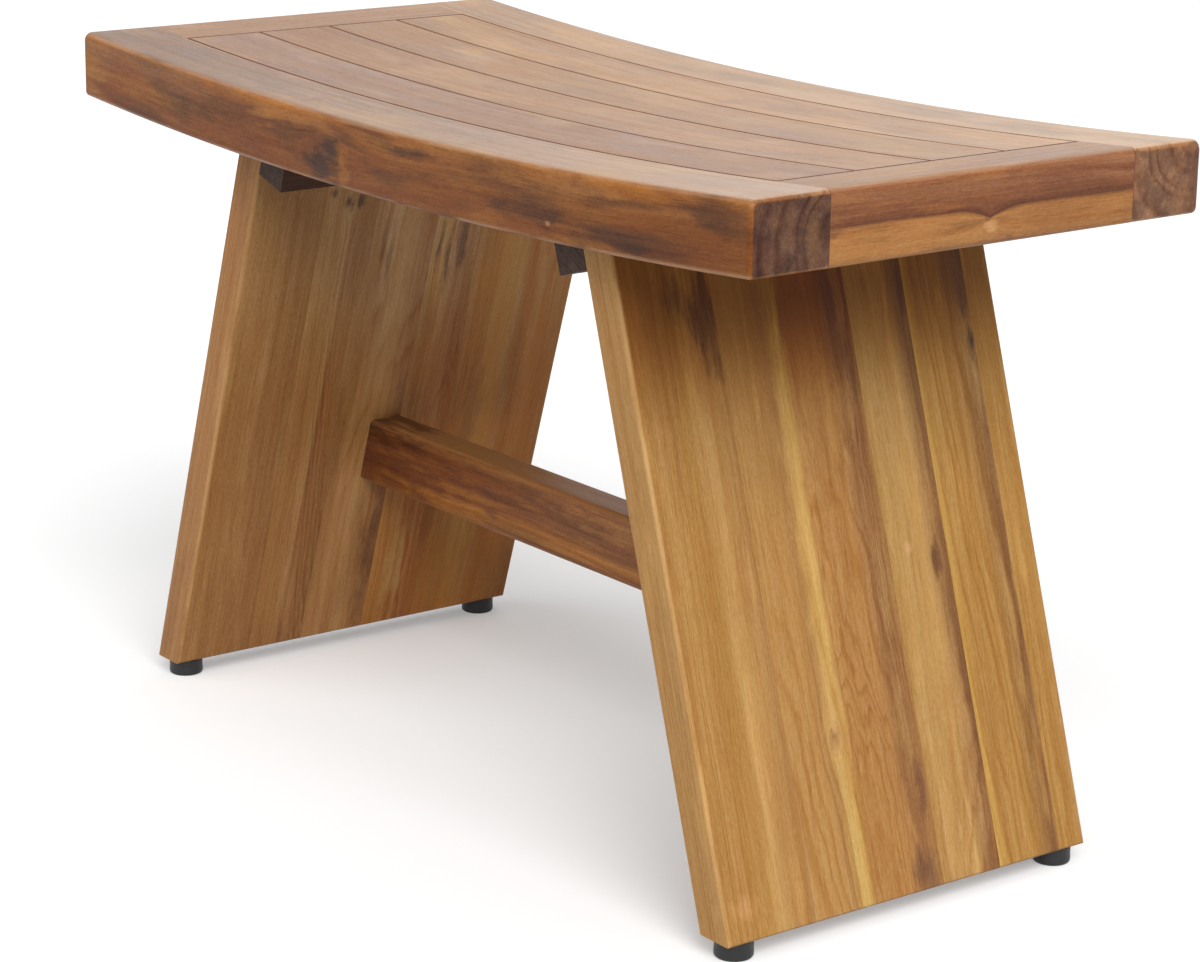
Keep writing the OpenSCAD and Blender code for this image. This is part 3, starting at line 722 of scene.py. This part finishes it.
def rail_rings(side):
    """The squeezed section at each way along the rail, with its depth laid on an arc of radius R + depth."""
    dished = np.linspace(0, END_RAIL_START - 0.0002, 40)
    joined = np.linspace(END_RAIL_START, HALF_LENGTH - TOP_ROUND, 6)[:-1]
    rounded = HALF_LENGTH - TOP_ROUND * (1 - np.cos(np.linspace(np.pi / 2, 0, 9)))
    half = np.concatenate([dished, joined, rounded])
    x = np.concatenate([-half[:0:-1], half])[:, None]
    left = HALF_LENGTH - np.abs(x)
    section = rail_section()[None]
    top = taken_off(TOP_ROUND, left)
    low = taken_off(LOW_ROUND, left)
    y = low + section[..., 0] * (RAIL[0] - low) / RAIL[0]
    depth = top + section[..., 1] * (RAIL[1] - top - low) / RAIL[1]
    flush = np.abs(x[:, 0]) >= END_RAIL_START
    y[flush, -3] = RAIL[0]
    depth[flush, -2] = depth[flush, -3]
    height = SEAT_HEIGHT - DISH + SEAT_RADIUS - np.sqrt((SEAT_RADIUS + depth) ** 2 - x ** 2)
    return np.stack([x + 0 * y, side * (HALF_WIDTH - y), height], -1)[None]


print("rail rings", rail_rings(1).shape)

# %% Long rails
RAIL_CLOUDS = (
    ((9, 48, 48), 0.48, 0.62, 0.55, (72, 40, 14)),
    ((7, 42, 42), 0.54, 0.68, 0.45, (152, 94, 26)),
    ((22, 110, 110), 0.50, 0.66, 0.40, (116, 58, 18)),
)
# Through the front rail's slant, its front face keeps the darkest tone on its lower half and gets paler gold
# towards the top: partly the wood, partly painted light on the upper face.
FRONT_TONES = [
    (0.0, (122, 68, 20)), (0.05, (128, 73, 24)), (0.13, (150, 95, 44)), (0.22, (150, 98, 52)),
    (1.0, (154, 104, 66)),
]
BACK_TONES = [(0.0, (162, 114, 74)), (0.8, (156, 106, 66)), (0.93, (140, 86, 46)), (1.0, (130, 76, 36))]
# The golden rows 13 to 18 mm up the face are partly the wood's figure and partly painted light on the upper
# face, below the lit round edge.
FRONT_SPOTS = [
    (-352, 0, 24, 34, 0.6, (162, 110, 50)),
    (-229, -5, 40, 14, 0.55, (74, 42, 16)),
    (-113, 18, 64, 14, 0.70, (168, 110, 40)),
    (-61, -8, 18, 14, 0.8, (50, 28, 14)),
    (-48, 1, 13, 12, 0.8, (50, 28, 16)),
    (-34, -9, 10, 20, 0.5, (156, 98, 38)),
    (-44, -19, 12, 3, 0.7, (48, 26, 14)),
    (29, 11, 36, 8, 0.7, (62, 32, 14)),
    (10, -4, 36, 8, 0.5, (70, 38, 16)),
    (90, 2, 50, 12, 0.5, (146, 86, 28)),
    (165, -6, 50, 9, 0.65, (60, 32, 16)),
    (179, -11, 3, 2, 0.6, (176, 126, 80)),
    (240, -13, 50, 10, 0.6, (62, 34, 18)),
    (242, 17, 62, 7, 0.6, (164, 102, 36)),
    (165, 13, 60, 9, 0.55, (158, 104, 50)),
    (206, 15, 42, 9, 0.5, (172, 116, 62)),
    (-110, 15, 85, 9, 0.5, (168, 114, 62)),
    (-280, 12, 160, 14, 0.5, (120, 84, 60)),
    (72, 17, 40, 6, 0.45, (156, 100, 44)),
    (331, 14, 46, 16, 0.6, (72, 38, 18)),
    (-150, -10, 60, 12, 0.4, (104, 52, 16)),
    (120, -16, 30, 6, 0.5, (150, 92, 34)),
    (-300, -2, 40, 30, 0.35, (126, 62, 20)),
]
FRONT_TOP_STAINS = [
    (-270, 8, 40, 18, 0.40, (122, 106, 102)),
    (-65, 6, 36, 16, 0.45, (126, 108, 104)),
    (30, 4, 30, 12, 0.35, (136, 112, 102)),
    (-100, -2, 8, 20, 0.35, (122, 88, 72)),
]
FRONT_END_STAINS = [
    (14, -4, 9, 18, 0.45, (128, 92, 58)),
    (-6, 2, 4, 18, 0.30, (112, 80, 58)),
]
HALF_RAIL = (RAIL[0] / 2, RAIL[1] / 2)
FRONT_RAIL = dict(
    tones=FRONT_TONES, slant=(1.0, 0.3), seed=81, heart=(0.050, 0.004), shine=0.17,
    knots=[((-0.054, -HALF_RAIL[0], -0.004), 0.034, -0.008)],
    spots=marks(1, -HALF_RAIL[0], 0.02, FRONT_SPOTS),
    stains=marks(2, HALF_RAIL[1], 0.02, FRONT_TOP_STAINS) + marks(0, HALF_LENGTH, 0.02, FRONT_END_STAINS),
    cut=((46, 29, 33), (78, 53, 47)), bleached=((124, 103, 90), (200, 172, 150)),
)
BACK_RAIL = dict(
    tones=BACK_TONES, seed=90, heart=(0.034, 0.033),
    cut=((96, 64, 48), (134, 94, 66)), bleached=((176, 140, 106), (218, 188, 158)),
)
for side, sign, rail in (("front", -1, FRONT_RAIL), ("back", 1, BACK_RAIL)):
    middle = sign * (HALF_WIDTH - HALF_RAIL[0])
    wood = teak(
        f"{side}_rail_teak", (0.0, middle, SEAT_MIDDLE - HALF_RAIL[1]), NO_TURN, RAIL[0], **rail, **SEAT_WOOD,
        ring=0.009, lean=(0.03, 0.03), wave=0.009, clouds=RAIL_CLOUDS, bowed=True, bleach=0.72,
        grooves=[((0, -sign, 0), HALF_RAIL[0])], rubbed=(0.0, *HALF_RAIL, 0.0034, 0.55, (196, 156, 122)),
    )
    skin(f"{side}_rail_wood", rail_rings(sign), "bench", wood, [f"{side}_rail"])

# %% [markdown]
# ## End rails, battens, cleats and stretcher
# The end rails run from front to back, so their grain turns by a quarter. The
# right one is sawn through the edge of the log: its lower outer side is
# golden sapwood, with a dark line where the heartwood starts. The hidden
# battens are plain, and the cleats are cut from much darker wood.

# %% End rails
ACROSS = (0.0, 0.0, math.pi / 2)
ALONG_Y = (0.0, 1.0, 0.0)
RIGHT_END_TONES = [
    (0.0, (156, 104, 52)), (0.15, (172, 118, 64)), (0.30, (172, 118, 64)), (0.34, (104, 60, 36)),
    (0.42, (130, 78, 46)), (1.0, (144, 92, 56)),
]
LEFT_END_TONES = [(0.0, (148, 100, 62)), (0.5, (140, 88, 50)), (1.0, (152, 98, 56))]
END_CLOUDS = [
    ((10, 60, 60), 0.52, 0.66, 0.40, (96, 56, 32)),
    ((18, 110, 110), 0.54, 0.68, 0.25, (180, 118, 60)),
]
END_SPOTS = [
    (4, -11.5, 7, 6, 0.7, (202, 152, 96)),
    (-125, -2, 50, 3, 0.7, (124, 76, 44)),
    (18, -18.5, 4, 1.8, 0.8, (92, 60, 44)),
    # The next row is a painted shadow: a grey-brown line along the lower edge of the end face.
    (20, -20, 110, 4.5, 0.5, (134, 92, 60)),
    (1, -5, 4, 3, 0.6, (104, 62, 36)),
    (60, 14, 70, 8, 0.6, (118, 64, 38)),
    (60, -13, 85, 16, 0.45, (140, 88, 50)),
]
END_FACE = -0.023
RIGHT_END = dict(
    tones=RIGHT_END_TONES, slant=(0.35, 0.80), knots=[((0.003, END_FACE, -0.005), 0.012, 0.006)],
    spots=marks(1, END_FACE, 0.02, END_SPOTS), bleached=((158, 122, 86), (190, 154, 126)),
)
LEFT_END = dict(tones=LEFT_END_TONES, bleached=((148, 110, 72), (176, 142, 116)))
for side, sign, rail in (("right", 1, RIGHT_END), ("left", -1, LEFT_END)):
    low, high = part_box(f"{side}_end_rail")
    half = (high.x - low.x) / 2
    wood = teak(
        f"{side}_end_rail_teak", tuple((low + high) / 2), ACROSS, 2 * half, **rail, **SEAT_WOOD,
        seed=100 + sign, heart=(0.05, 0.04), ring=0.0045, lean=(0.02, 0.02), wave=0.006, grain=ALONG_Y,
        clouds=END_CLOUDS, bleach=0.62, grooves=[((0, sign, 0), half)],
        rubbed=(0.0, half, 0.024, 0.0034, 0.45, (204, 160, 116)),
    )
    dress(f"{side}_end_rail", wood)
print("end rails dressed")

# %% Battens, cleats and stretcher
BATTEN = dict(tones=[(0.0, (142, 96, 58)), (1.0, (152, 106, 64))], rough=0.6)
CLEAT = dict(tones=[(0.0, (68, 42, 29)), (1.0, (78, 50, 34))], cut=((50, 34, 26), (64, 45, 33)), rough=0.65)
for side, sign in (("right", 1), ("left", -1)):
    for kind, bar, seed in (("batten", BATTEN, 110), ("cleat", CLEAT, 120)):
        low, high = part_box(f"{side}_{kind}")
        place = tuple((low + high) / 2)
        name = f"{side}_{kind}_teak"
        wood = teak(name, place, ACROSS, high.x - low.x, **bar, seed=seed + sign, grain=ALONG_Y)
        dress(f"{side}_{kind}", wood)
HALF_BAR = (0.023, 0.0135)
BAR_TONES = [
    (0.0, (120, 72, 32)), (0.2, (172, 110, 46)), (0.35, (120, 66, 26)), (0.7, (120, 66, 26)),
    (1.0, (142, 92, 44)),
]
BAR_CLOUDS = [
    ((7, 70, 70), 0.50, 0.64, 0.45, (80, 42, 14)),
    ((9, 90, 90), 0.54, 0.70, 0.45, (164, 104, 42)),
]
BAR_SPOTS = [
    # The next row darkens the stretcher's left end beside the leg: painted shade.
    (-250, 0, 190, 60, 0.62, (80, 42, 34)),
    (35, 10, 85, 14, 0.55, (168, 112, 56)),
    (200, 0, 120, 60, 0.5, (170, 118, 66)),
]
# Painted shade on the top of the stretcher's left end, beside the leg.
BAR_PAINTED_SHADE = [(-250, 0, 75, 50, 0.75, (66, 36, 24))]
low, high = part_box("stretcher")
# The stretcher's top is painted paler: partly bleaching, partly painted light.
wood = teak(
    "stretcher_teak", tuple((low + high) / 2), (math.pi / 2, 0.0, 0.0), 2 * HALF_BAR[0], BAR_TONES,
    seed=130, heart=(0.0, 0.05), clouds=BAR_CLOUDS, spots=marks(2, 0.0, 0.06, BAR_SPOTS),
    stains=marks(1, HALF_BAR[0], 0.02, BAR_PAINTED_SHADE), bleach=0.80, bleached=((178, 132, 86), (158, 107, 61)),
    rubbed=(0.0, *HALF_BAR, 0.004, 0.30, (176, 118, 72)), rough=0.42,
)
dress("stretcher", wood)
print("battens, cleats and stretcher dressed")

# %% [markdown]
# ## Metal and rubber
# The screws are zinc-plated steel, the studs stainless, the threaded inserts
# brass and the foot pads black rubber. Metal shows mostly what it reflects, so
# its colour changes little, and it is the gloss that varies: cloudy where it
# is plated or handled, with fine scratches. Rubber is dull and holds dust.

# %% Metal and rubber finishes
def metal(name, plain, cloudy, rough):
    """Metal with clouds in its colour and gloss, and fine scratches."""
    material, tree = new_material(name)
    point = add_node(tree, "ShaderNodeTexCoord").outputs["Object"]
    haze = cloud(tree, point, (420, 420, 420), 3, 3.0)
    scratch = cloud(tree, point, (2600, 2600, 900), 8, 2.0)
    colour = tint(tree, between(tree, haze, 0.38, 0.66), paint(*plain), paint(*cloudy))
    gloss = reckon(tree, "MULTIPLY_ADD", scratch, 0.12, rough - 0.18)
    gloss = reckon(tree, "MULTIPLY_ADD", haze, 0.25, gloss)
    finish_surface(tree, colour, gloss, scratch, 0.2, 0.00005, metallic=1.0)
    return material


def rubber(name, plain, dusty):
    """Moulded rubber: nearly black, with a fine grain and dust on it."""
    material, tree = new_material(name)
    point = add_node(tree, "ShaderNodeTexCoord").outputs["Object"]
    grain = cloud(tree, point, (1500, 1500, 1500), 5, 3.0)
    dust = patches(tree, point, (160, 160, 260), 6, 4.0, 0.50, 0.78)
    colour = wash(tree, dust, 0.5, paint(*plain), dusty)
    gloss = reckon(tree, "MULTIPLY_ADD", grain, 0.12, reckon(tree, "MULTIPLY_ADD", dust, 0.2, 0.42))
    finish_surface(tree, colour, gloss, grain, 0.25, 0.00015)
    return material


plated = metal("zinc_plating", (196, 198, 202), (172, 172, 170), 0.42)
stainless = metal("stainless_steel", (190, 188, 184), (168, 166, 162), 0.34)
brass = metal("brass", (198, 164, 92), (172, 136, 70), 0.40)
black_rubber = rubber("black_rubber", (12, 12, 14), (38, 37, 39))
dress("foot_inserts", brass)
print("metals and rubber ready")

# %% [markdown]
# ## Screws
# A wood screw is a surface of turning: a flat head, a cone, a plain neck and
# a thread that ends in a point. Two things break the turning. The recess in
# the head is a cross, and its depth falls off from the middle. The thread is
# a ridge that climbs one pitch each turn, so its phase is the height divided
# by the pitch, less the share of a turn.

# %% Screw surface
THREAD_PITCH = 0.0022
THREAD_START = 0.012
RIDGE = 0.00072
HEAD_RADIUS = 0.0045
CORE_RADIUS = 0.0015
TIP_LENGTH = 0.0045
CROSS_DEPTH = 0.0019
CROSS_REACH = 0.0027
CROSS_ARM = 0.00062


def screw_rings(length, heads, point_way, turns=32):
    """A line of radius and depth turned once round: flat head, cone, neck, thread and tip. Where the thread
    runs, the radius is the core's plus a ridge whose phase climbs one pitch each turn. The head's depth has a
    cross sunk in it, deepest in the middle. Each head's place gets one copy, which points the given way."""
    flat = [(r, 0.0) for r in np.linspace(0.0002, 0.0044, 15)]
    rim = [(HEAD_RADIUS, 0.0001), (HEAD_RADIUS, 0.0004)]
    neck = [(0.00225, 0.00265), (0.0022, 0.006), (0.0021, 0.0115)]
    along = np.arange(THREAD_START, length - TIP_LENGTH, THREAD_PITCH / 10)
    thread = np.stack([np.full_like(along, CORE_RADIUS), along], -1)
    tip = np.stack([np.linspace(CORE_RADIUS, 0.0001, 24), np.linspace(length - TIP_LENGTH, length, 24)], -1)
    line = np.concatenate([flat, rim, neck, thread, tip])
    angle = np.linspace(0, 2 * np.pi, turns, endpoint=False)
    radius, down = line[:, :1], line[:, 1:]
    phase = (down / THREAD_PITCH - angle / (2 * np.pi)) % 1
    ridge = np.clip((np.abs(phase - 0.5) * 2 - 0.55) / 0.45, 0, 1) * RIDGE
    on_thread = np.clip((down - 0.0118) / 0.002, 0, 1) * np.clip((length - down) / 0.006, 0, 1)
    radius = radius + ridge * on_thread
    u, v = radius * np.cos(angle), radius * np.sin(angle)
    arm = np.clip((CROSS_ARM - np.minimum(np.abs(u), np.abs(v))) / 0.0002, 0, 1)
    recess = CROSS_DEPTH * arm * np.clip(1 - radius / CROSS_REACH, 0, 1) * (down < 1e-6)
    down = down + recess + 0 * angle
    forward = Vector(point_way).normalized()
    sideways = Vector((0.0, 1.0, 0.0))
    upright = forward.cross(sideways)
    axes = np.array([sideways, upright, forward])
    local = np.stack([u, v, down], -1) @ axes
    return np.array(heads)[:, None, None] + local


def screw_row(node, length, heads, point_way):
    """One row of screws that stands for a CAD group."""
    rings = screw_rings(length, heads, point_way)
    skin(f"{node}_threaded", rings, "bench", plated, [node], 40)


SEAT_SCREW = 0.034
SEAT_SCREW_Y = (-0.12875, -0.046, 0.046, 0.12875)
LEG_SCREW = 0.044
LEG_SCREW_Y = (-0.095, 0.0, 0.095)
# A leg screw leans with the leg, so its head's middle lies this far inside its box.
HEAD_INSET = (0.001353, 0.00429)
for side, sign in (("right", 1), ("left", -1)):
    for kind, places in (("slat", slat_middles), ("seat", SEAT_SCREW_Y)):
        low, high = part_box(f"{side}_{kind}_screws")
        heads = [((low.x + high.x) / 2, y, low.z) for y in places]
        screw_row(f"{side}_{kind}_screws", SEAT_SCREW, heads, (0, 0, 1))
    low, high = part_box(f"{side}_leg_screws")
    start = low.x + HEAD_INSET[0] if side == "right" else high.x - HEAD_INSET[0]
    heads = [(start, y, low.z + HEAD_INSET[1]) for y in LEG_SCREW_Y]
    screw_row(f"{side}_leg_screws", LEG_SCREW, heads, (sign * math.cos(LEAN), 0, math.sin(LEAN)))

# %% [markdown]
# ## Levelling feet
# Each foot is a six millimetre stud with a pitch of one millimetre, moulded
# into a rubber pad. The stud climbs in its insert as the pad is turned. The
# pad's shape is one line turned round the stud: its tread has three grooves,
# and its side a shallow waist where fingers grip it.

# %% Studs
STUD_PITCH = 0.001


def stud_rings(low, high, turns=36):
    """Rings up the stud: the radius is 3 mm less a V groove whose phase climbs one pitch each turn."""
    length = high.z - low.z
    up = np.linspace(0, length, round(length / STUD_PITCH * 9))[:, None]
    angle = np.linspace(0, 2 * np.pi, turns, endpoint=False)
    phase = (up / STUD_PITCH - angle / (2 * np.pi)) % 1
    radius = 0.003 - 0.0006 * np.abs(2 * phase - 1)
    rim = np.minimum(0.0024 + up, 0.0022 + (length - up))
    radius = np.minimum(radius, rim)
    x = (low.x + high.x) / 2 + radius * np.cos(angle)
    y = (low.y + high.y) / 2 + radius * np.sin(angle)
    return np.stack([x, y, low.z + up + 0 * angle], -1)[None]


FEET = ("front_left", "front_right", "back_left", "back_right")
for foot in FEET:
    rings = stud_rings(*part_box(f"{foot}_stud"))
    skin(f"{foot}_stud_threaded", rings, f"{foot}_stud", stainless, [f"{foot}_stud"], 50)

# %% Pads
RIM = 0.002
SOCKET_RADIUS = 0.00305
SOCKET_DEPTH = 0.0074


def pad_rings(low, high, turns=64):
    """The pad's outline turned once: grooved tread, round rim, waisted side, bevel, and the stud's socket."""
    outer = (high.x - low.x) / 2
    tall = high.z - low.z
    tread_r = np.linspace(0.0003, outer - 0.0022, 70)
    grooves = np.clip(np.sin((tread_r - 0.0012) / (outer - 0.0034) * 3 * 2 * np.pi) * 2 - 0.9, 0, 1)
    tread = np.stack([tread_r, 0.0006 * grooves], -1)
    angle = np.linspace(-np.pi / 2, 0, 9)
    rim = np.stack([outer - RIM + RIM * np.cos(angle), RIM + RIM * np.sin(angle)], -1)
    up = np.linspace(0.0025, tall - 0.0006, 16)
    waist = 0.00015 * np.sin(np.pi * (up - 0.0025) / (tall - 0.0031)) ** 2
    side = np.stack([outer - waist, up], -1)
    top = [(outer - 0.0006, tall), (0.0046, tall), (0.0040, tall - 0.0005), (SOCKET_RADIUS, tall - 0.0005)]
    socket = [(SOCKET_RADIUS, tall - SOCKET_DEPTH), (0.0003, tall - SOCKET_DEPTH)]
    line = np.concatenate([tread, rim, side, top, socket])
    angle = np.linspace(0, 2 * np.pi, turns, endpoint=False)
    x = (low.x + high.x) / 2 + line[:, :1] * np.cos(angle)
    y = (low.y + high.y) / 2 + line[:, :1] * np.sin(angle)
    return np.stack([x, y, low.z + line[:, 1:] + 0 * angle], -1)[None]


for foot in FEET:
    rings = pad_rings(*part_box(f"{foot}_pad"))
    skin(f"{foot}_pad_moulded", rings, f"{foot}_pad", black_rubber, [f"{foot}_pad"], 40)

# %% [markdown]
# ## Floor, light and white surroundings
# The bench stands on a plain pale floor in a white studio. A large soft lamp on
# the right, about 40 degrees up, gives most of the light. A wide one in front
# and one above open the shadows, and the sky adds a little from all round. The
# floor and the sky look white to the camera because of their own colour, so no
# lamp has to be turned up to whiten them, and the shadow stays.

# %% Floor and world
def seen_directly(tree):
    """1 for what is seen, straight on, in a mirror or through glass, and 0 for the light that it gives."""
    path = add_node(tree, "ShaderNodeLightPath").outputs
    seen = reckon(tree, "MAXIMUM", path["Is Camera Ray"], path["Is Transmission Ray"])
    return reckon(tree, "MAXIMUM", seen, path["Is Glossy Ray"])


def lit_or_seen(tree, lit, seen):
    """One shader for the light that a thing gives, another for how it looks when seen directly."""
    feeds = {0: seen_directly(tree), 1: lit.outputs[0], 2: seen.outputs[0]}
    return add_node(tree, "ShaderNodeMixShader", feeds).outputs[0]


WHITE = (1.0, 1.0, 1.0, 1.0)
SKY_LIGHT = 0.05
world = bpy.data.worlds.new("studio")
bpy.context.scene.world = world
world.use_nodes = True
tree = world.node_tree
tree.nodes.clear()
soft = add_node(tree, "ShaderNodeBackground", {"Color": WHITE, "Strength": SKY_LIGHT})
white = add_node(tree, "ShaderNodeBackground", {"Color": WHITE, "Strength": 1.0})
add_node(tree, "ShaderNodeOutputWorld", {"Surface": lit_or_seen(tree, soft, white)})

material, tree = new_material("floor_white")
matt = add_node(tree, "ShaderNodeBsdfDiffuse", {"Color": (0.60, 0.60, 0.60, 1.0)})
pale = add_node(tree, "ShaderNodeBsdfDiffuse", {"Color": (0.80, 0.80, 0.80, 1.0)})
glow = add_node(tree, "ShaderNodeEmission", {"Color": WHITE, "Strength": 0.25})
bright = add_node(tree, "ShaderNodeAddShader", {0: pale.outputs[0], 1: glow.outputs[0]})
add_node(tree, "ShaderNodeOutputMaterial", {"Surface": lit_or_seen(tree, matt, bright)})
mesh = bpy.data.meshes.new("floor")
mesh.from_pydata([(-20, -20, 0), (20, -20, 0), (20, 20, 0), (-20, 20, 0)], [], [(0, 1, 2, 3)])
mesh.materials.append(material)
floor = bpy.data.objects.new("floor", mesh)
bpy.context.scene.collection.objects.link(floor)
print("floor laid")

# %% Lamps
def soft_lamp(name, towards, strength, softness):
    """A far lamp, softness degrees wide. On a surface facing it, strength 1 shows a colour as written."""
    lamp = bpy.data.lights.new(name, "SUN")
    lamp.energy = strength * math.pi
    lamp.angle = math.radians(softness)
    made = bpy.data.objects.new(name, lamp)
    made.rotation_euler = Vector(towards).to_track_quat("Z", "Y").to_euler()
    made.location = Vector(towards) * 3
    bpy.context.scene.collection.objects.link(made)


soft_lamp("key", (0.706, -0.297, 0.643), 0.94, 42)
soft_lamp("front", (-0.10, -0.85, 0.55), 0.39, 70)
soft_lamp("top", (0.10, 0.35, 0.93), 0.26, 60)
